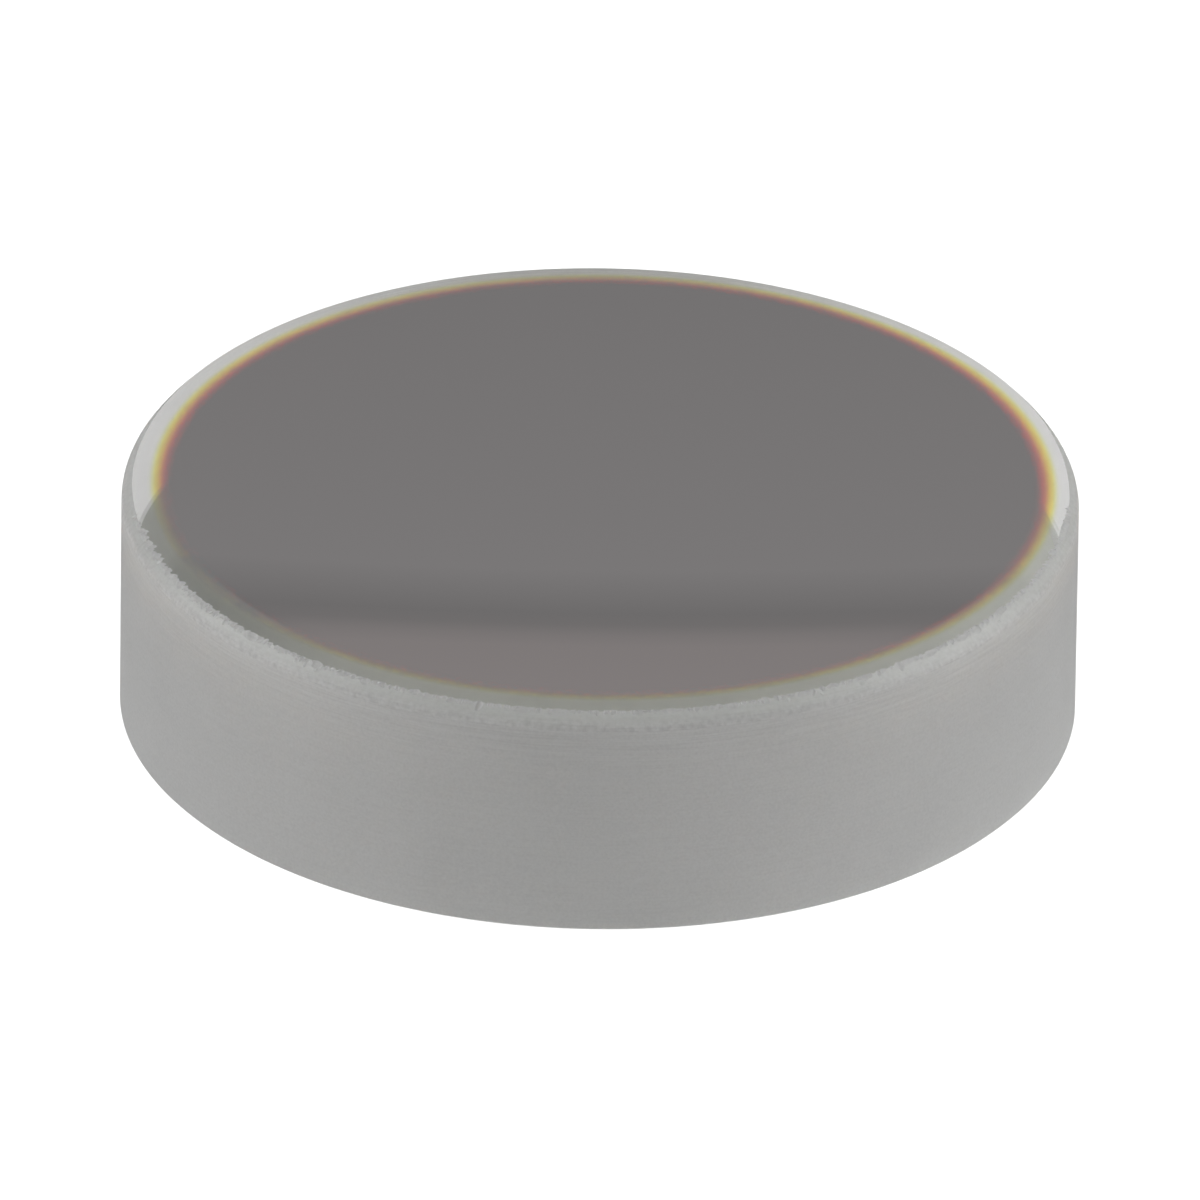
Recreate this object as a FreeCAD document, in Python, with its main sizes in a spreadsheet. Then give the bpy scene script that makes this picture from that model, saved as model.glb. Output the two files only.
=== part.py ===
# Concave mirror: a round glass disc with a hollow spherical front face,
# a reflective film on that face, and a ground bevel round each rim.
# Millimetres. The origin is the middle of the flat back face, +Z is the optical axis,
# and the hollow, coated face looks towards +Z.
import FreeCAD, Part
import math
import os
import Sketcher

# Driving sizes: alias, value in millimetres, what it is
SIZES = [
    ("diameter", 12.7, "outside diameter of the glass disc"),
    ("centreThickness", 3.0, "glass thickness on the axis, at the bottom of the hollow"),
    ("curvatureRadius", 100.0, "radius of the hollow face, twice its focal length"),
    ("frontBevel", 0.15, "leg of the ground bevel round the hollow face"),
    ("backBevel", 0.04, "leg of the fine bevel round the flat back"),
    ("polishedMargin", 0.15, "bare polished ring between the film and the front bevel"),
    ("filmThickness", 0.02, "thickness of the reflective film at its full depth"),
    ("filmFeather", 0.25, "width over which the film thins to nothing at its edge"),
]

# Ends of a sketch's line or arc, and the sketch's own origin and upright axis
START, END, CENTRE = 1, 2, 3
ORIGIN = (-1, 1)
UPRIGHT = -2

# Sizes as the sketches state them, from the cells of the sheet
THICKNESS = "<<sizes>>.centreThickness"
CURVE = "<<sizes>>.curvatureRadius"
FRONT_LEG = "<<sizes>>.frontBevel"
BACK_LEG = "<<sizes>>.backBevel"
DEPTH = "<<sizes>>.filmThickness"
FEATHER = "<<sizes>>.filmFeather"
DISC_RADIUS = "<<sizes>>.diameter / 2"
FILM_RADIUS = "<<sizes>>.diameter / 2 - <<sizes>>.frontBevel - <<sizes>>.polishedMargin"
CURVE_HEIGHT = "<<sizes>>.centreThickness + <<sizes>>.curvatureRadius"

doc = FreeCAD.newDocument("concave_mirror")
value = {alias: number for alias, number, meaning in SIZES}


def makeSheet():
    """The sheet that holds every driving size under its own alias."""
    sheet = doc.addObject("Spreadsheet::Sheet", "sizes")
    for row, (alias, number, meaning) in enumerate(SIZES, start=1):
        sheet.set(f"A{row}", alias)
        sheet.set(f"B{row}", str(number))
        sheet.set(f"C{row}", meaning)
        sheet.setAlias(f"B{row}", alias)
    doc.recompute()


def makeBody(label):
    """An empty body whose label is the name of the piece."""
    body = doc.addObject("PartDesign::Body", label)
    body.Label = label
    return body


def makeSection(body, name):
    """A sketch on the body's own XZ plane: x is the distance from the axis and y the height."""
    sketch = body.newObject("Sketcher::SketchObject", name)
    plane = next(p for p in body.Origin.OriginFeatures if p.Role == "XZ_Plane")
    sketch.AttachmentSupport = (plane, [""])
    sketch.MapMode = "FlatFace"
    return sketch


def line(sketch, start, end):
    """Adds a straight edge from one (radius, height) point to another."""
    points = [FreeCAD.Vector(x, y, 0) for x, y in (start, end)]
    return sketch.addGeometry(Part.LineSegment(*points), False)


def hollowArc(sketch, radius, reach, start=0):
    """Adds the stretch of the hollow's circle between two distances from the axis."""
    height = value["centreThickness"] + value["curvatureRadius"]
    circle = Part.Circle(FreeCAD.Vector(0, height, 0), FreeCAD.Vector(0, 0, 1), radius)
    first, last = (1.5 * math.pi + math.asin(distance / radius) for distance in (start, reach))
    return sketch.addGeometry(Part.ArcOfCircle(circle, first, last), False)


def hold(sketch, kind, *where):
    """Adds a constraint that carries no size."""
    sketch.addConstraint(Sketcher.Constraint(kind, *where))


def measure(sketch, name, size, kind, *where):
    """Adds a named constraint and binds its size to the sheet."""
    index = sketch.addConstraint(Sketcher.Constraint(kind, *where))
    sketch.renameConstraint(index, name)
    sketch.setExpression(f"Constraints.{name}", size)


def heightOfHollow(radius, reach):
    """Height of a circle about the hollow's centre, at a distance from the axis."""
    centre = value["centreThickness"] + value["curvatureRadius"]
    return centre - math.sqrt(radius**2 - reach**2)


def spin(body, sketch, name):
    """Turns a section once round the optical axis, with one face for each of its edges."""
    turned = body.newObject("PartDesign::Revolution", name)
    turned.Profile = sketch
    turned.ReferenceAxis = (sketch, ["V_Axis"])
    turned.Angle = 360
    turned.Refine = False
    doc.recompute()
    return turned


def closeLoop(sketch, edges):
    """Joins each edge's end to the next edge's start, and the last one to the first."""
    for first, second in zip(edges, edges[1:] + edges[:1]):
        hold(sketch, "Coincident", first, END, second, START)


def makeSubstrate():
    """The glass: flat back, straight side, hollow spherical front, and a bevel at both rims."""
    body = makeBody("glass_substrate")
    sketch = makeSection(body, "substrate_section")
    reach = value["diameter"] / 2
    thickness = value["centreThickness"]
    curve = value["curvatureRadius"]
    front = value["frontBevel"]
    back = value["backBevel"]
    lip = (reach - front, heightOfHollow(curve, reach - front))
    shoulder = (reach, lip[1] - front)
    axis = line(sketch, (0, 0), (0, thickness))
    hollow = hollowArc(sketch, curve, lip[0])
    frontBevel = line(sketch, lip, shoulder)
    side = line(sketch, shoulder, (reach, back))
    backBevel = line(sketch, (reach, back), (reach - back, 0))
    base = line(sketch, (reach - back, 0), (0, 0))
    closeLoop(sketch, [axis, hollow, frontBevel, side, backBevel, base])
    hold(sketch, "Coincident", axis, START, *ORIGIN)
    hold(sketch, "Vertical", axis)
    hold(sketch, "PointOnObject", hollow, CENTRE, UPRIGHT)
    hold(sketch, "Vertical", side)
    hold(sketch, "Horizontal", base)
    measure(sketch, "middle_height", THICKNESS, "DistanceY", axis, START, axis, END, thickness)
    measure(sketch, "hollow_radius", CURVE, "Radius", hollow, curve)
    measure(sketch, "side_reach", DISC_RADIUS, "DistanceX", axis, START, side, END, reach)
    measure(sketch, "front_leg_across", FRONT_LEG, "DistanceX", frontBevel, START, frontBevel, END, front)
    measure(sketch, "front_leg_up", FRONT_LEG, "DistanceY", frontBevel, END, frontBevel, START, front)
    measure(sketch, "back_leg_across", BACK_LEG, "DistanceX", backBevel, END, backBevel, START, back)
    measure(sketch, "back_leg_up", BACK_LEG, "DistanceY", backBevel, END, backBevel, START, back)
    body.Tip = spin(body, sketch, "hollowed_disc")
    return body


def makeFilm():
    """The reflective film: it lies on the hollow, even in thickness out to the feather at its edge."""
    body = makeBody("reflective_film")
    sketch = makeSection(body, "film_section")
    bottom = value["centreThickness"]
    depth = value["filmThickness"]
    feather = value["filmFeather"]
    under = value["curvatureRadius"]
    over = under - depth
    edge = value["diameter"] / 2 - value["frontBevel"] - value["polishedMargin"]
    full = edge - feather
    glass = hollowArc(sketch, under, full)
    outerGlass = hollowArc(sketch, under, edge, full)
    mirror = hollowArc(sketch, over, full)
    axis = line(sketch, (0, bottom), (0, bottom + depth))
    taper = line(sketch, (full, heightOfHollow(over, full)), (edge, heightOfHollow(under, edge)))
    hold(sketch, "Coincident", glass, START, axis, START)
    hold(sketch, "Coincident", mirror, START, axis, END)
    hold(sketch, "Coincident", taper, START, mirror, END)
    hold(sketch, "Coincident", outerGlass, START, glass, END)
    hold(sketch, "Coincident", taper, END, outerGlass, END)
    hold(sketch, "Coincident", mirror, CENTRE, glass, CENTRE)
    hold(sketch, "Coincident", outerGlass, CENTRE, glass, CENTRE)
    hold(sketch, "PointOnObject", glass, CENTRE, UPRIGHT)
    hold(sketch, "Vertical", axis)
    hold(sketch, "PointOnObject", axis, START, UPRIGHT)
    hold(sketch, "Vertical", glass, END, mirror, END)
    measure(sketch, "curve_height", CURVE_HEIGHT, "DistanceY", *ORIGIN, glass, CENTRE, bottom + under)
    measure(sketch, "glass_radius", CURVE, "Radius", glass, under)
    measure(sketch, "film_depth", DEPTH, "DistanceY", axis, START, axis, END, depth)
    measure(sketch, "film_reach", FILM_RADIUS, "DistanceX", *ORIGIN, outerGlass, END, edge)
    measure(sketch, "feather_width", FEATHER, "DistanceX", taper, START, taper, END, feather)
    body.Tip = spin(body, sketch, "film_on_hollow")
    return body


def checkAndWrite(pieces):
    """Stops at any failed object or bad shape, then writes one STEP file for each piece."""
    for item in doc.Objects:
        if {"Invalid", "Error"} & set(item.State):
            raise RuntimeError(f"{item.Label} failed: {item.State}")
    for sketch in [item for item in doc.Objects if item.TypeId == "Sketcher::SketchObject"]:
        if sketch.solve() != 0 or not sketch.FullyConstrained:
            raise RuntimeError(f"{sketch.Label} isn't fully constrained")
    for piece in pieces:
        if piece.Shape.isNull() or not piece.Shape.isValid() or len(piece.Shape.Solids) != 1:
            raise RuntimeError(f"{piece.Label} isn't one valid solid")
    os.makedirs("parts", exist_ok=True)
    for piece in pieces:
        piece.Shape.exportStep(f"parts/{piece.Label}.step")
        box = piece.Shape.BoundBox
        print(
            f"{piece.Label}: {piece.Shape.Volume:.4f} mm3, across {box.XLength:.4f} x {box.YLength:.4f},"
            f" from {box.ZMin:.4f} to {box.ZMax:.4f} high"
        )


makeSheet()
substrate = makeSubstrate()
film = makeFilm()
doc.recompute()
checkAndWrite([substrate, film])
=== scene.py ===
import math
import random

import bpy
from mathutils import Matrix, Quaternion, Vector


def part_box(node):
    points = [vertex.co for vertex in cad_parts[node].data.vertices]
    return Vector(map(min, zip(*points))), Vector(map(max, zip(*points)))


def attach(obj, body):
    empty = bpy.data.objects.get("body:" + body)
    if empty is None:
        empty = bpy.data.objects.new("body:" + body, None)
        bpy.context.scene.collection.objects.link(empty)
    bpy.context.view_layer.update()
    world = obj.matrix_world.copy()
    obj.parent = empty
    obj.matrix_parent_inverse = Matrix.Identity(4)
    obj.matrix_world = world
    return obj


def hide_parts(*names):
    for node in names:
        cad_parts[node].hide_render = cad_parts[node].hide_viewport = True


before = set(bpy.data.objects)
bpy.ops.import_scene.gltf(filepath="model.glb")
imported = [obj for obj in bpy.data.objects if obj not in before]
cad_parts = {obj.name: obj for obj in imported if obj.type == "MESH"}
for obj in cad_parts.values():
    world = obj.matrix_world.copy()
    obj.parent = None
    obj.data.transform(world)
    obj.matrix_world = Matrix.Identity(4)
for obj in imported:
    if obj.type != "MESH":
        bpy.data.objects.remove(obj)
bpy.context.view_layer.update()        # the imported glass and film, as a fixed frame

mm = 0.001               # one millimetre, in metres
um = 0.000001            # one micrometre, in metres
touching = 0.01 * um      # points this close are one


def deselectAll():
    if bpy.context.object and bpy.context.object.mode != "OBJECT":
        bpy.ops.object.mode_set(mode="OBJECT")
    bpy.ops.object.select_all(action="DESELECT")


def pickOnly(piece):
    deselectAll()
    piece.select_set(True)
    bpy.context.view_layer.objects.active = piece


# Selects the points of the piece in edit mode that pass a test of their place
def pickPoints(piece, test):
    bpy.ops.mesh.select_mode(type="VERT")
    bpy.ops.mesh.select_all(action="DESELECT")
    bpy.ops.object.mode_set(mode="OBJECT")
    for point in piece.data.vertices:
        point.select = test(point.co)
    bpy.ops.object.mode_set(mode="EDIT")


# Pulls the selected ring of edges into a skin, through a list of (radius, height) rings
def pullRings(start, rings):
    radius, height = start
    for newRadius, newHeight in rings:
        bpy.ops.mesh.extrude_region_move(TRANSFORM_OT_translate={"value": (0, 0, newHeight - height)})
        scale = newRadius / radius
        bpy.ops.transform.resize(value=(scale, scale, 1), center_override=(0, 0, newHeight))
        radius, height = newRadius, newHeight


# Closes the selected ring with one point on the axis
def closeToPoint():
    bpy.ops.mesh.extrude_region_move()
    bpy.ops.mesh.merge(type="CENTER")


# A round skin with both ends closed on the axis, from a list of (radius, height) rings
def turnPiece(name, rings, sides):
    deselectAll()
    radius, height = rings[0]
    bpy.ops.mesh.primitive_circle_add(vertices=sides, radius=radius, location=(0, 0, height))
    piece = bpy.context.object
    piece.name = piece.data.name = name
    bpy.ops.object.transform_apply(location=True, rotation=False, scale=False)
    bpy.ops.object.mode_set(mode="EDIT")
    bpy.ops.mesh.select_all(action="SELECT")
    pullRings(rings[0], rings[1:])
    closeToPoint()
    pickPoints(piece, lambda place: abs(place.z - height) < touching and place.xy.length < radius + um)
    closeToPoint()
    bpy.ops.mesh.select_all(action="SELECT")
    bpy.ops.mesh.remove_doubles(threshold=touching)
    bpy.ops.mesh.normals_make_consistent(inside=False)
    bpy.ops.object.mode_set(mode="OBJECT")
    return piece


def smoothUpTo(piece, degrees):
    pickOnly(piece)
    bpy.ops.object.shade_smooth_by_angle(angle=math.radians(degrees))


# Materials

def newMaterial(name):
    material = bpy.data.materials.new(name)
    material.use_nodes = True
    material.node_tree.nodes.clear()
    return material


# Adds a node, sets its properties and sockets, and links the sockets that are given as outputs
def addNode(tree, kind, properties=None, **sockets):
    node = tree.nodes.new(kind)
    for name, value in (properties or {}).items():
        setattr(node, name, value)
    for name, value in sockets.items():
        numbered = name[0] == "n" and name[1:].isdigit()
        socket = node.inputs[int(name[1:]) if numbered else name.replace("_", " ")]
        if isinstance(value, bpy.types.NodeSocket):
            tree.links.new(value, socket)
        else:
            socket.default_value = value
    return node


def setOutput(tree, shader):
    output = addNode(tree, "ShaderNodeOutputMaterial")
    tree.links.new(shader, output.inputs["Surface"])


glassIOR = 1.52            # crown glass
polishedTint = (0.985, 0.98, 0.975, 1.0)
noiseRange = (0.3, 0.7)    # where most values of a noise lie

groundLook = {
    "albedo": 0.935,           # how much of the light a ground face sends back
    "warmth": (0.996, 0.996, 1.0),
    "through": 0.73,           # share of the surface that lets light through, scattered
    "roughness": 0.45,
    "streakAcross": 900,       # streaks each metre along the rim
    "streakUp": 42000,         # streaks each metre up the side
    "streakDepth": 0.5 * um,
    "streakTones": (-1.0, 0.6),    # dark streaks stand out more than pale ones
    "streakHeights": (2.2 * mm, 2.95 * mm),   # they grow stronger between these heights
    "streakStrengths": (0.02, 0.07),
    "grainScale": 26000,
    "grainDepth": 1.5 * um,
    "grainTones": (0.96, 1.03),
    "cloudScale": 420,
    "cloudTones": (0.975, 1.02),
    "clearShare": 0.50,        # of the bevel's upper edge: it is ground fine enough to see through there
    "clearHeights": (3.02 * mm, 3.12 * mm),
    "clearRoughness": 0.32,
    "clearTint": (0.97, 1.0, 0.97, 1.0),
    "clearGrainShare": 0.6,    # its grain is coarser
    "clearGrainTones": (0.90, 1.08),
}


# Spreads a noise's usual values over a range of tones
def noiseTone(tree, noise, tones):
    return addNode(
        tree, "ShaderNodeMapRange", Value=noise.outputs["Fac"],
        From_Min=noiseRange[0], From_Max=noiseRange[1], To_Min=tones[0], To_Max=tones[1],
    ).outputs[0]


def times(tree, first, second):
    return addNode(tree, "ShaderNodeMath", {"operation": "MULTIPLY"}, n0=first, n1=second).outputs[0]


# Coarse ground glass, or, where it is clear, glass that is ground finer and finer up the bevel
def makeGroundGlass(name, clear=False):
    look = groundLook
    grainScale = look["grainScale"] * (look["clearGrainShare"] if clear else 1.0)
    grainTones = look["clearGrainTones"] if clear else look["grainTones"]
    material = newMaterial(name)
    tree = material.node_tree
    place = addNode(tree, "ShaderNodeTexCoord").outputs["Object"]
    stretched = addNode(
        tree, "ShaderNodeMapping", Vector=place,
        Scale=(look["streakAcross"], look["streakAcross"], look["streakUp"]),
    ).outputs[0]
    streak = addNode(tree, "ShaderNodeTexNoise", Vector=stretched, Scale=1.0, Detail=4.0, Roughness=0.6)
    grain = addNode(tree, "ShaderNodeTexNoise", Vector=place, Scale=grainScale, Detail=3.0)
    cloud = addNode(tree, "ShaderNodeTexNoise", Vector=place, Scale=look["cloudScale"], Detail=2.0)
    speckle = noiseTone(tree, grain, grainTones)
    upward = addNode(tree, "ShaderNodeSeparateXYZ", Vector=place).outputs["Z"]
    strength = addNode(
        tree, "ShaderNodeMapRange", {"interpolation_type": "SMOOTHSTEP"}, Value=upward,
        From_Min=look["streakHeights"][0], From_Max=look["streakHeights"][1],
        To_Min=look["streakStrengths"][0], To_Max=look["streakStrengths"][1],
    ).outputs[0]
    wave = noiseTone(tree, streak, look["streakTones"])
    shade = addNode(tree, "ShaderNodeMath", {"operation": "MULTIPLY_ADD"}, n0=wave, n1=strength, n2=1.0)
    patch = noiseTone(tree, cloud, look["cloudTones"])
    both = times(tree, shade.outputs[0], patch)
    mottled = times(tree, both, speckle)
    level = times(tree, mottled, look["albedo"])
    colour = addNode(
        tree, "ShaderNodeVectorMath", {"operation": "SCALE"}, n0=look["warmth"], Scale=level,
    ).outputs[0]
    ridges = addNode(
        tree, "ShaderNodeBump", Height=streak.outputs["Fac"], Distance=look["streakDepth"], Strength=1.0,
    ).outputs[0]
    pits = addNode(
        tree, "ShaderNodeBump", Height=grain.outputs["Fac"], Distance=look["grainDepth"], Strength=1.0,
        Normal=ridges,
    ).outputs[0]
    surface = addNode(
        tree, "ShaderNodeBsdfPrincipled", Base_Color=colour, Roughness=look["roughness"],
        IOR=glassIOR, Normal=pits,
    )
    behind = addNode(tree, "ShaderNodeBsdfTranslucent", Color=colour, Normal=pits)
    mixed = addNode(
        tree, "ShaderNodeMixShader", n0=look["through"], n1=surface.outputs[0], n2=behind.outputs[0],
    )
    if clear:
        blurred = addNode(
            tree, "ShaderNodeBsdfPrincipled", Base_Color=look["clearTint"], Roughness=look["clearRoughness"],
            IOR=glassIOR, Transmission_Weight=1.0, Normal=pits,
        )
        fine = addNode(
            tree, "ShaderNodeMapRange", {"interpolation_type": "SMOOTHSTEP"}, Value=upward,
            From_Min=look["clearHeights"][0], From_Max=look["clearHeights"][1],
            To_Min=0.0, To_Max=look["clearShare"],
        ).outputs[0]
        mixed = addNode(tree, "ShaderNodeMixShader", n0=fine, n1=mixed.outputs[0], n2=blurred.outputs[0])
    setOutput(tree, mixed.outputs[0])
    return material


def makePolishedGlass():
    material = newMaterial("polished glass")
    tree = material.node_tree
    glass = addNode(
        tree, "ShaderNodeBsdfPrincipled", Base_Color=polishedTint, Roughness=0.0, IOR=glassIOR,
        Transmission_Weight=1.0,
    )
    setOutput(tree, glass.outputs[0])
    return material


filmLook = {
    "reflects": 0.93,          # share of the light that the full film sends back
    "under": 0.5,              # and what is left of that on its side towards the glass
    "red": (5.71, 5.96),       # where each colour starts and ends to pass, in millimetres from that middle
    "green": (5.82, 6.00),
    "blue": (5.935, 6.06),
    "roughness": 0.014,
    "centre": (0.046, 0.118),  # middle of its coloured edge, in millimetres from the disc's axis
    "narrower": 1.009,         # how much less it reaches to the front and back than to the sides
    "turnover": (-0.5, 0.5),   # height of its normal where its side to the glass ends and its front starts
    "smallest": 0.001,         # no share is divided by less than this
}


# The film thins out at its edge, where it passes red first, then green and blue
def makeFilmMaterial():
    look = filmLook
    material = newMaterial("mirror film")
    tree = material.node_tree
    place = addNode(tree, "ShaderNodeTexCoord").outputs["Object"]
    fromCentre = addNode(
        tree, "ShaderNodeMapping", Vector=place,
        Location=(-look["centre"][0], -look["centre"][1] * look["narrower"], 0),
        Scale=(1 / mm, look["narrower"] / mm, 0),
    ).outputs[0]
    reach = addNode(tree, "ShaderNodeVectorMath", {"operation": "LENGTH"}, n0=fromCentre).outputs["Value"]
    passed = [
        addNode(
            tree, "ShaderNodeMapRange", {"interpolation_type": "SMOOTHSTEP"}, Value=reach,
            From_Min=look[name][0], From_Max=look[name][1], To_Min=0.0, To_Max=1.0,
        ).outputs[0]
        for name in ("red", "green", "blue")
    ]
    bySide = addNode(tree, "ShaderNodeCombineXYZ", X=passed[0], Y=passed[1], Z=passed[2]).outputs[0]
    leaving = addNode(tree, "ShaderNodeNewGeometry").outputs["Backfacing"]   # only the first skin met counts
    light = addNode(tree, "ShaderNodeVectorMath", {"operation": "MAXIMUM"}, n0=bySide, n1=leaving).outputs[0]
    share = addNode(
        tree, "ShaderNodeVectorMath", {"operation": "DOT_PRODUCT"}, n0=light, n1=(1 / 3, 1 / 3, 1 / 3),
    ).outputs["Value"]
    held = addNode(tree, "ShaderNodeVectorMath", {"operation": "SUBTRACT"}, n0=(1, 1, 1), n1=light).outputs[0]
    most = addNode(tree, "ShaderNodeMath", {"operation": "MAXIMUM"}, n0=share, n1=look["smallest"]).outputs[0]
    rest = addNode(tree, "ShaderNodeMath", {"operation": "SUBTRACT"}, n0=1.0, n1=share).outputs[0]
    least = addNode(tree, "ShaderNodeMath", {"operation": "MAXIMUM"}, n0=rest, n1=look["smallest"]).outputs[0]
    tintScale = addNode(tree, "ShaderNodeMath", {"operation": "DIVIDE"}, n0=1.0, n1=most).outputs[0]
    facing = addNode(tree, "ShaderNodeTexCoord").outputs["Normal"]
    upward = addNode(tree, "ShaderNodeSeparateXYZ", Vector=facing).outputs["Z"]
    bright = addNode(
        tree, "ShaderNodeMapRange", Value=upward, From_Min=look["turnover"][0], From_Max=look["turnover"][1],
        To_Min=look["reflects"] * look["under"], To_Max=look["reflects"],
    ).outputs[0]
    mirrorScale = addNode(tree, "ShaderNodeMath", {"operation": "DIVIDE"}, n0=bright, n1=least).outputs[0]
    tint = addNode(tree, "ShaderNodeVectorMath", {"operation": "SCALE"}, n0=light, Scale=tintScale)
    shine = addNode(tree, "ShaderNodeVectorMath", {"operation": "SCALE"}, n0=held, Scale=mirrorScale)
    mirror = addNode(tree, "ShaderNodeBsdfAnisotropic", Color=shine.outputs[0], Roughness=look["roughness"])
    gap = addNode(tree, "ShaderNodeBsdfTransparent", Color=tint.outputs[0])
    mixed = addNode(tree, "ShaderNodeMixShader", n0=share, n1=mirror.outputs[0], n2=gap.outputs[0])
    setOutput(tree, mixed.outputs[0])
    return material


# Glass disc

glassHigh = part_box("glass_substrate")[1]
filmLow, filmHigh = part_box("reflective_film")

disc = {
    "radius": glassHigh.x,
    "middleHeight": filmLow.z,         # top of the glass on the axis
    "hollowRadius": 100 * mm,
    "lipRadius": 6.216 * mm,           # inner edge of the ground bevel
    "lipOffset": (0.006 * mm, 0.033 * mm),   # the bevel isn't quite centred
    "bevelSlope": 1.04,                # how far the bevel drops for its width
    "backBevel": 0.04 * mm,
    "shoulderRound": 0.05 * mm,        # rounding where the bevel meets the side
    "backMargin": 0.05 * mm,           # ground ring round the polished part of the flat back
    "backOffset": (-0.045 * mm, 0),
    "ringStep": 0.5 * mm,
    "sides": 360,
}


def hollowHeight(reach):
    return disc["middleHeight"] + disc["hollowRadius"] - math.sqrt(disc["hollowRadius"] ** 2 - reach ** 2)


def makeDisc():
    size = disc
    lip = (size["lipRadius"], hollowHeight(size["lipRadius"]))
    shoulder = (size["radius"], lip[1] - size["bevelSlope"] * (size["radius"] - size["lipRadius"]))
    steps = int(size["lipRadius"] / size["ringStep"])
    reaches = [step * size["ringStep"] for step in range(steps, 0, -1)]
    inward = [(reach, hollowHeight(reach)) for reach in reaches]
    rings = [
        (size["radius"] - size["backBevel"] - size["backMargin"], 0.0),
        (size["radius"] - size["backBevel"], 0.0),
        (size["radius"], size["backBevel"]),
        shoulder,
        lip,
    ]
    piece = turnPiece("mirror_substrate", rings + inward, size["sides"])
    bpy.ops.object.mode_set(mode="EDIT")
    pickPoints(piece, lambda place: abs(place.z - lip[1]) < um and place.xy.length > lip[0] - um)
    bpy.ops.transform.translate(value=(*size["lipOffset"], 0))
    pickPoints(piece, lambda place: place.z < um and place.xy.length < rings[0][0] + um)
    bpy.ops.transform.translate(value=(*size["backOffset"], 0))
    bpy.ops.object.mode_set(mode="OBJECT")
    for point in piece.data.vertices:
        if abs(point.co.z - lip[1]) < um:
            point.co.z = hollowHeight(point.co.xy.length)     # the moved edge still lies on the hollow
        elif abs(point.co.z - shoulder[1]) < um and point.co.xy.length > lip[0]:
            outward = point.co.xy.normalized()
            point.co.z += size["bevelSlope"] * outward.dot(Vector(size["lipOffset"]))   # the slope stays even
    bpy.ops.object.mode_set(mode="EDIT")
    onSide = size["radius"] - um
    pickPoints(piece, lambda place: place.xy.length > onSide and place.z > size["middleHeight"] / 2)
    bpy.ops.mesh.select_mode(type="EDGE")
    bpy.ops.mesh.bevel(offset=size["shoulderRound"], segments=3, affect="EDGES")
    bpy.ops.object.mode_set(mode="OBJECT")
    return piece


# Flakes broken off the rim between two angles, each with its angle in degrees, and its width, depth and
# shift outward along the bevel in millimetres
def scatterChips(maker, arc, count, widths, depths, shifts):
    start, end = arc
    flakes = []
    for place in range(count):
        angle = start + (end - start) / count * (place + maker.uniform(0.2, 0.8))
        flakes.append((angle, maker.uniform(*widths), maker.uniform(*depths), maker.uniform(*shifts)))
    return flakes


chips = {
    "tilt": 22.5,              # degrees, halfway between the slopes of the hollow and of the bevel
    "sway": 9,                 # degrees that a flake's tilt may differ from it
    "twist": 25,               # degrees that a flake may lean or turn along the rim
    "straight": 0.2,           # but not from this width in millimetres on
    "plain": 0.1,              # narrower flakes than this have few faces
    "thickness": 0.36,         # of a flake's depth
    "sets": [                  # neighbours that could touch are in sets of their own
        scatterChips(random.Random(3), (-169, -3), 165, (0.03, 0.09), (0.03, 0.09), (-0.012, 0.012)),
        scatterChips(random.Random(4), (-169, -3), 165, (0.03, 0.09), (0.03, 0.09), (-0.012, 0.012)),
        scatterChips(random.Random(8), (-169, -3), 165, (0.03, 0.08), (0.03, 0.08), (-0.012, 0.020)),
        scatterChips(random.Random(11), (-168, -134), 22, (0.06, 0.12), (0.07, 0.13), (-0.02, 0.01)),
        scatterChips(random.Random(12), (-168, -128), 30, (0.04, 0.10), (0.05, 0.10), (-0.02, 0.01)),
        scatterChips(random.Random(5), (-140, -14), 26, (0.10, 0.24), (0.05, 0.10), (-0.01, 0.03)),
        [(-106.8, 0.09, 0.10, 0.0), (-75.2, 0.08, 0.11, 0.0), (-50.3, 0.12, 0.13, 0.0)],
        [(-8.6, 0.85, 0.07, 0.01), (-128.0, 0.06, 0.06, 0.06), (-63.0, 0.08, 0.08, 0.03)],
    ],
    "fine": [                  # these are ground no coarser than the bevel
        scatterChips(random.Random(21), (-172, -125), 24, (0.05, 0.10), (0.04, 0.07), (0.02, 0.045)),
        [(-126.2, 0.09, 0.05, 0.07), (-119.4, 0.07, 0.04, 0.07), (-66.4, 0.07, 0.05, 0.05),
         (-62.0, 0.06, 0.05, 0.06), (-56.4, 0.10, 0.055, 0.06), (-33.0, 0.07, 0.04, 0.08)],
    ],
}


# One mesh of flattened balls, one for each flake, which is then cut out of the rim
def makeCutter(flakes):
    maker = random.Random(len(flakes))
    deselectAll()
    cutter = None
    for angle, width, depth, shift in flakes:
        turn = math.radians(angle)
        outward = Vector((math.cos(turn), math.sin(turn)))
        spot = outward * (disc["lipRadius"] + shift * mm) + Vector(disc["lipOffset"])
        tilt = -chips["tilt"] + maker.uniform(-chips["sway"], chips["sway"])
        lean, swing = 0, 0
        if width < chips["straight"]:
            lean = math.radians(maker.uniform(-chips["twist"], chips["twist"]))
            swing = math.radians(maker.uniform(-chips["twist"], chips["twist"]))
        slopes = (math.radians(tilt), lean, turn - math.pi / 2 + swing)
        bpy.ops.mesh.primitive_ico_sphere_add(
            subdivisions=1 if width < chips["plain"] else 3, radius=1,
            location=(*spot, hollowHeight(disc["lipRadius"]) - max(shift, 0) * mm),
            rotation=slopes, scale=(width / 2 * mm, depth * mm, chips["thickness"] * depth * mm),
        )
        if cutter is None:
            cutter = bpy.context.object
            bpy.ops.object.transform_apply(location=True, rotation=True, scale=True)
            bpy.ops.object.mode_set(mode="EDIT")
    bpy.ops.object.mode_set(mode="OBJECT")
    return cutter


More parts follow.
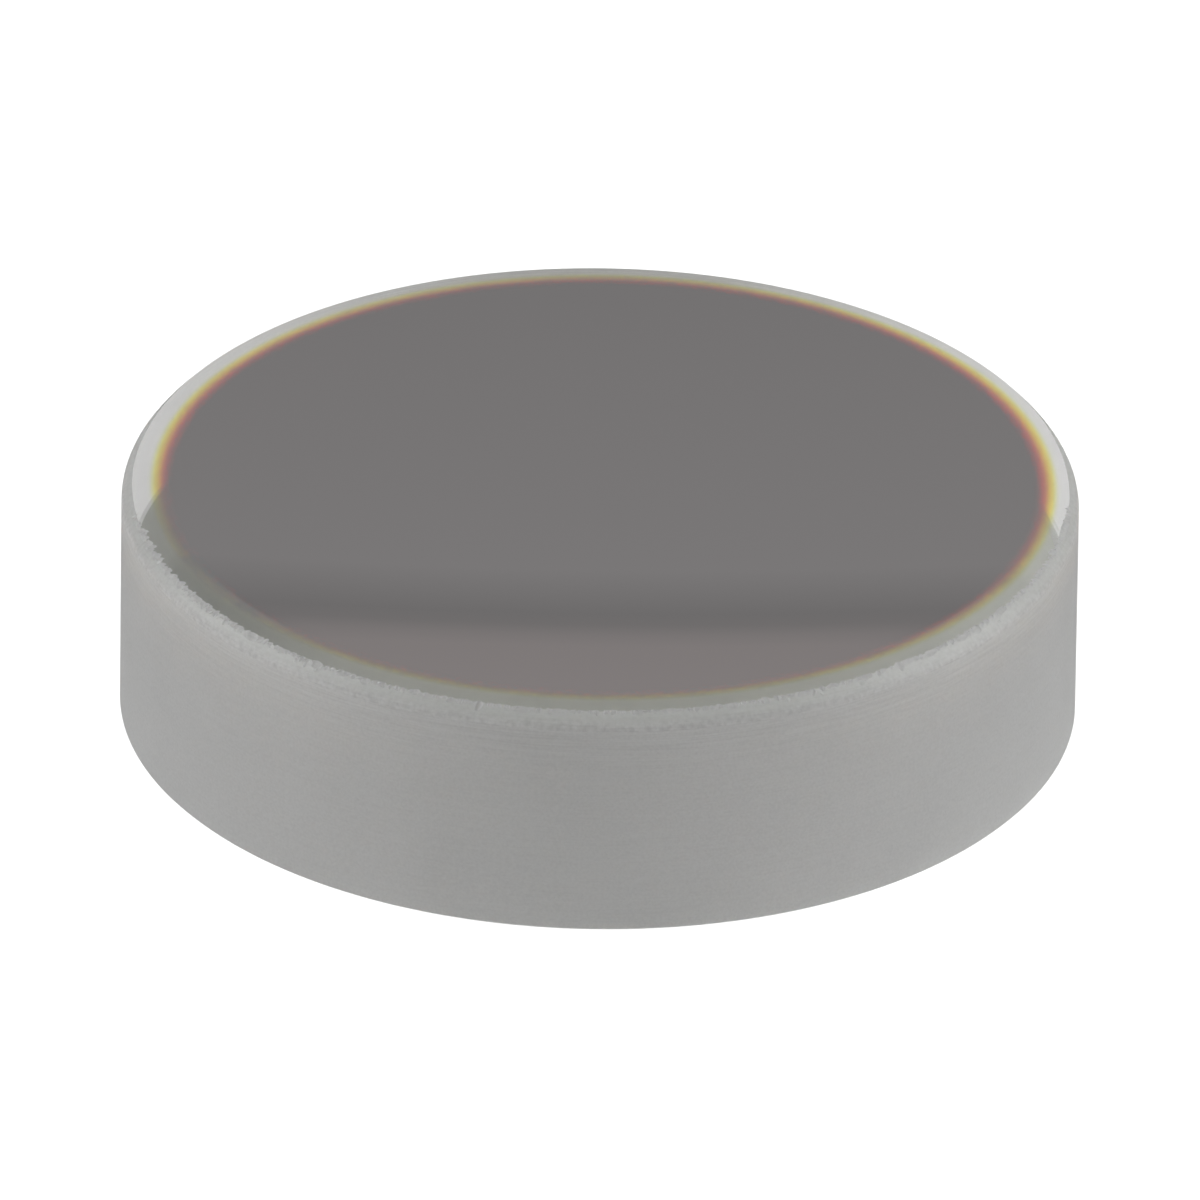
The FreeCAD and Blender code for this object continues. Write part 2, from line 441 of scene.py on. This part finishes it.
def chipRim(piece):
    for flakes in chips["sets"] + chips["fine"]:
        cutter = makeCutter(flakes)
        for material in piece.data.materials:
            cutter.data.materials.append(material)
        for face in cutter.data.polygons:
            face.material_index = 2 if flakes in chips["fine"] else 0
        pickOnly(piece)
        cut = piece.modifiers.new("chips", "BOOLEAN")
        cut.operation = "DIFFERENCE"
        cut.solver = "MANIFOLD"
        cut.object = cutter
        bpy.ops.object.modifier_apply(modifier=cut.name)
        bpy.data.meshes.remove(cutter.data)


substrate = makeDisc()
substrate.data.materials.append(makeGroundGlass("ground glass"))
substrate.data.materials.append(makePolishedGlass())
substrate.data.materials.append(makeGroundGlass("fine ground glass", clear=True))
curveCentre = Vector((0, 0, disc["middleHeight"] + disc["hollowRadius"]))
polishedBack = disc["radius"] - disc["backBevel"] - disc["backMargin"]
for face in substrate.data.polygons:
    onHollow = face.normal.angle(curveCentre - face.center) < math.radians(1)
    onBack = face.normal.z < -0.99 and (face.center.xy - Vector(disc["backOffset"])).length < polishedBack
    onBevel = face.normal.z > 0.1 and not onHollow
    face.material_index = 1 if onHollow or onBack else 2 if onBevel else 0
chipRim(substrate)
smoothUpTo(substrate, 20)
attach(substrate, "root")
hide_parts("glass_substrate")
print("glass disc made")


# Reflective film

film = {
    "edge": filmHigh.x,
    "feather": 0.25 * mm,
    "depth": 20 * um,
    "lift": 2 * um,                    # clear of the glass
    "edgeLift": 3 * um,                # and at its thin edge
    "offset": (0.046 * mm, 0.095 * mm),      # the film isn't quite centred
}


def makeFilm():
    size = film
    full = size["edge"] - size["feather"]
    steps = int(full / disc["ringStep"])
    reaches = [step * disc["ringStep"] for step in range(1, steps + 1)] + [full]
    under = [(reach, hollowHeight(reach) + size["lift"]) for reach in reaches]
    edge = (size["edge"], hollowHeight(size["edge"]) + size["edgeLift"])
    over = [(reach, hollowHeight(reach) + size["depth"]) for reach in reversed(reaches)]
    piece = turnPiece("mirror_coating", under + [edge] + over, disc["sides"])
    bpy.ops.object.mode_set(mode="EDIT")
    bpy.ops.mesh.select_all(action="SELECT")
    centre = (0, 0, disc["middleHeight"] + disc["hollowRadius"])
    across, back = size["offset"]
    bpy.ops.transform.rotate(value=across / disc["hollowRadius"], orient_axis="Y", center_override=centre)
    bpy.ops.transform.rotate(value=-back / disc["hollowRadius"], orient_axis="X", center_override=centre)
    bpy.ops.object.mode_set(mode="OBJECT")
    return piece


coating = makeFilm()
coating.data.materials.append(makeFilmMaterial())
smoothUpTo(coating, 2)
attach(coating, "root")
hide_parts("reflective_film")
print("film made")


# Stage

stageLook = {
    "floorTone": 0.85,
    "floorLift": 0.75,                 # what the floor adds for the camera alone, up to white
    "underTint": (0.875, 0.90, 0.845),    # where it is seen through the glass
    "underPaintedShade": (0.74, 1.0),          # painted shade: its tone there, darker from the left rim to where it is full
    "underPaintedShadeReach": (-6.0 * mm, -0.8 * mm),
    "underPaintedLight": 0.145,                 # painted light: what it adds there in the middle as a glow, though it is no lamp, out to nothing near the sides
    "paintedLightMiddle": 0.8 * mm,
    "paintedLightReach": (4.0 * mm, 6.8 * mm),
    "glow": 0.24,                      # light that the floor adds close round the disc
    "glowReach": (6.6 * mm, 10.5 * mm),
    "floorSize": 4.0,
    "gap": 8 * um,
}


def makeFloor():
    look = stageLook
    deselectAll()
    bpy.ops.mesh.primitive_plane_add(size=look["floorSize"], location=(0, 0, -look["gap"]))
    plane = bpy.context.object
    plane.name = "floor"
    material = newMaterial("pale floor")
    tree = material.node_tree
    path = addNode(tree, "ShaderNodeLightPath")
    side = addNode(tree, "ShaderNodeNewGeometry")
    across = addNode(tree, "ShaderNodeSeparateXYZ", Vector=side.outputs["Position"]).outputs["X"]
    fromMiddle = addNode(tree, "ShaderNodeMath", {"operation": "SUBTRACT"}, n0=across, n1=look["paintedLightMiddle"])
    reach = addNode(tree, "ShaderNodeMath", {"operation": "ABSOLUTE"}, n0=fromMiddle.outputs[0]).outputs[0]
    # painted light: the floor seen through the glass glows in the middle, out to nothing near the sides
    lift = addNode(
        tree, "ShaderNodeMapRange", {"interpolation_type": "SMOOTHSTEP"}, Value=reach,
        From_Min=look["paintedLightReach"][0], From_Max=look["paintedLightReach"][1], To_Min=look["underPaintedLight"], To_Max=0.0,
    ).outputs[0]
    # painted shade: the floor seen through the glass is darker toward the left rim
    tone = addNode(
        tree, "ShaderNodeMapRange", {"interpolation_type": "SMOOTHSTEP"}, Value=across,
        From_Min=look["underPaintedShadeReach"][0], From_Max=look["underPaintedShadeReach"][1],
        To_Min=look["underPaintedShade"][0], To_Max=look["underPaintedShade"][1],
    ).outputs[0]
    tintWithPaintedShade = addNode(
        tree, "ShaderNodeVectorMath", {"operation": "SCALE"}, n0=look["underTint"], Scale=tone,
    )
    under = addNode(tree, "ShaderNodeBsdfDiffuse", Color=tintWithPaintedShade.outputs[0])
    # painted light: an emission in the floor's tint, seen only through the glass
    paintedLightGlow = addNode(tree, "ShaderNodeEmission", Color=(*look["underTint"], 1.0), Strength=lift)
    inside = addNode(tree, "ShaderNodeAddShader", n0=under.outputs[0], n1=paintedLightGlow.outputs[0])
    fromDisc = addNode(tree, "ShaderNodeVectorMath", {"operation": "LENGTH"}, n0=side.outputs["Position"])
    glow = addNode(
        tree, "ShaderNodeMapRange", {"interpolation_type": "SMOOTHSTEP"}, Value=fromDisc.outputs["Value"],
        From_Min=look["glowReach"][0], From_Max=look["glowReach"][1], To_Min=look["glow"], To_Max=0.0,
    ).outputs[0]
    pale = addNode(tree, "ShaderNodeBsdfDiffuse", Color=(*[look["floorTone"]] * 3, 1.0))
    lit = addNode(tree, "ShaderNodeEmission", Color=(1, 1, 1, 1), Strength=glow)
    matt = addNode(tree, "ShaderNodeAddShader", n0=pale.outputs[0], n1=lit.outputs[0])
    lifted = addNode(tree, "ShaderNodeEmission", Color=(1, 1, 1, 1), Strength=look["floorLift"])
    white = addNode(tree, "ShaderNodeAddShader", n0=pale.outputs[0], n1=lifted.outputs[0])
    seen = addNode(
        tree, "ShaderNodeMixShader",
        n0=path.outputs["Is Camera Ray"], n1=matt.outputs[0], n2=white.outputs[0],
    )
    # rays through the glass see the floor with its painted shade at the left and painted light in the middle
    upper = addNode(
        tree, "ShaderNodeMixShader",
        n0=path.outputs["Is Transmission Ray"], n1=seen.outputs[0], n2=inside.outputs[0],
    )
    clear = addNode(tree, "ShaderNodeBsdfTransparent")
    surface = addNode(
        tree, "ShaderNodeMixShader", n0=side.outputs["Backfacing"], n1=upper.outputs[0], n2=clear.outputs[0],
    )
    setOutput(tree, surface.outputs[0])
    plane.data.materials.append(material)


# What the mirror sees: a warm wall low down, a darker gap, then a plain wall that fades upward
wallTint = (1.04, 1.0, 1.0)
warmTint = (1.09, 1.0, 0.99)
studio = {                 # height above the horizon in degrees: brightness and tint
    12: (0.105, wallTint),
    22: (0.21, warmTint),
    23.7: (0.20, warmTint),
    24.4: (0.15, wallTint),    # the gap
    26: (0.195, wallTint),
    35: (0.175, wallTint),
    45: (0.06, wallTint),
}
frontShare = 0.22          # how much of that tone is left on the camera's side of the room
backShare = 1.02           # and on the far side
frontToBack = (-0.4, 0.2)  # the change lies between these, as sines of the angle toward the far side


def makeWorld():
    world = bpy.data.worlds.new("studio")
    bpy.context.scene.world = world
    world.use_nodes = True
    tree = world.node_tree
    tree.nodes.clear()
    path = addNode(tree, "ShaderNodeLightPath")
    toward = addNode(tree, "ShaderNodeTexCoord").outputs["Generated"]
    parts = addNode(tree, "ShaderNodeSeparateXYZ", Vector=toward)
    angle = addNode(tree, "ShaderNodeMath", {"operation": "ARCSINE"}, n0=parts.outputs["Z"]).outputs[0]
    share = addNode(tree, "ShaderNodeMath", {"operation": "DIVIDE"}, n0=angle, n1=math.pi / 2).outputs[0]
    ramp = addNode(tree, "ShaderNodeValToRGB", Fac=share)
    stops = ramp.color_ramp.elements
    while len(stops) < len(studio):
        stops.new(1.0)
    for stop, (height, (brightness, tint)) in zip(stops, studio.items()):
        stop.position = height / 90
        stop.color = (*(brightness * part for part in tint), 1.0)
    strength = addNode(
        tree, "ShaderNodeMapRange", {"interpolation_type": "SMOOTHSTEP"}, Value=parts.outputs["Y"],
        From_Min=frontToBack[0], From_Max=frontToBack[1], To_Min=frontShare, To_Max=backShare,
    ).outputs[0]
    room = addNode(tree, "ShaderNodeBackground", Color=ramp.outputs["Color"], Strength=strength)
    white = addNode(tree, "ShaderNodeBackground", Color=(1, 1, 1, 1), Strength=1.0)
    seen = addNode(
        tree, "ShaderNodeMixShader",
        n0=path.outputs["Is Camera Ray"], n1=room.outputs[0], n2=white.outputs[0],
    )
    output = addNode(tree, "ShaderNodeOutputWorld")
    tree.links.new(seen.outputs[0], output.inputs["Surface"])


lamps = {
    "left": {"place": (-0.36, 0.006, 0.10), "size": (0.34, 0.18), "power": 0.80},
    "right": {"place": (0.36, 0.006, 0.10), "size": (0.28, 0.18), "power": 0.84},
    "high left": {"place": (-0.28, -0.01, 0.22), "size": (0.16, 0.16), "power": 0.20},
    "high right": {"place": (0.28, -0.025, 0.22), "size": (0.16, 0.16), "power": 0.20},
}


def makeLamps():
    for name, facts in lamps.items():
        deselectAll()
        bpy.ops.object.light_add(type="AREA", location=facts["place"])
        lamp = bpy.context.object
        lamp.name = name + " softbox"
        lamp.data.shape = "RECTANGLE"
        lamp.data.size, lamp.data.size_y = facts["size"]
        lamp.data.energy = facts["power"]
        lamp.rotation_mode = "QUATERNION"
        lamp.rotation_quaternion = Vector(facts["place"]).to_track_quat("Z", "Y")
        lamp.visible_camera = False


makeFloor()
makeWorld()
makeLamps()
print("stage made")


# Camera

photograph = {
    "side": 1200,              # pixels across and up
    "elevation": 28.34,        # degrees above the floor
    "turn": 0.789,             # degrees, the camera's own tilt to one side
    "distance": 600 * mm,
    "pixelsEachMillimetre": 75.31,
    "middle": (598.9, 601.4),  # the pixel where the point below is seen
    "point": (0, 0, 1.5 * mm),
}


def makeCamera():
    view = photograph
    scale = view["pixelsEachMillimetre"] / mm
    tilt = math.radians(view["elevation"])
    outward = Vector((0, -math.cos(tilt), math.sin(tilt)))
    upward = Vector((0, math.sin(tilt), math.cos(tilt)))
    across, down = (view["side"] / 2 - pixel for pixel in view["middle"])
    aim = Vector(view["point"]) + Vector((1, 0, 0)) * across / scale - upward * down / scale
    deselectAll()
    bpy.ops.object.camera_add(location=aim + outward * view["distance"])
    camera = bpy.context.object
    camera.name = "camera"
    camera.rotation_mode = "QUATERNION"
    turn = Quaternion((0, 0, 1), math.radians(view["turn"]))
    camera.rotation_quaternion = outward.to_track_quat("Z", "Y") @ turn
    camera.data.lens = scale * view["distance"] * camera.data.sensor_width / view["side"]
    camera.data.clip_start = 100 * mm
    camera.data.clip_end = 100
    bpy.context.scene.camera = camera


makeCamera()
bpy.context.scene.view_settings.view_transform = "Standard"
print("ready")
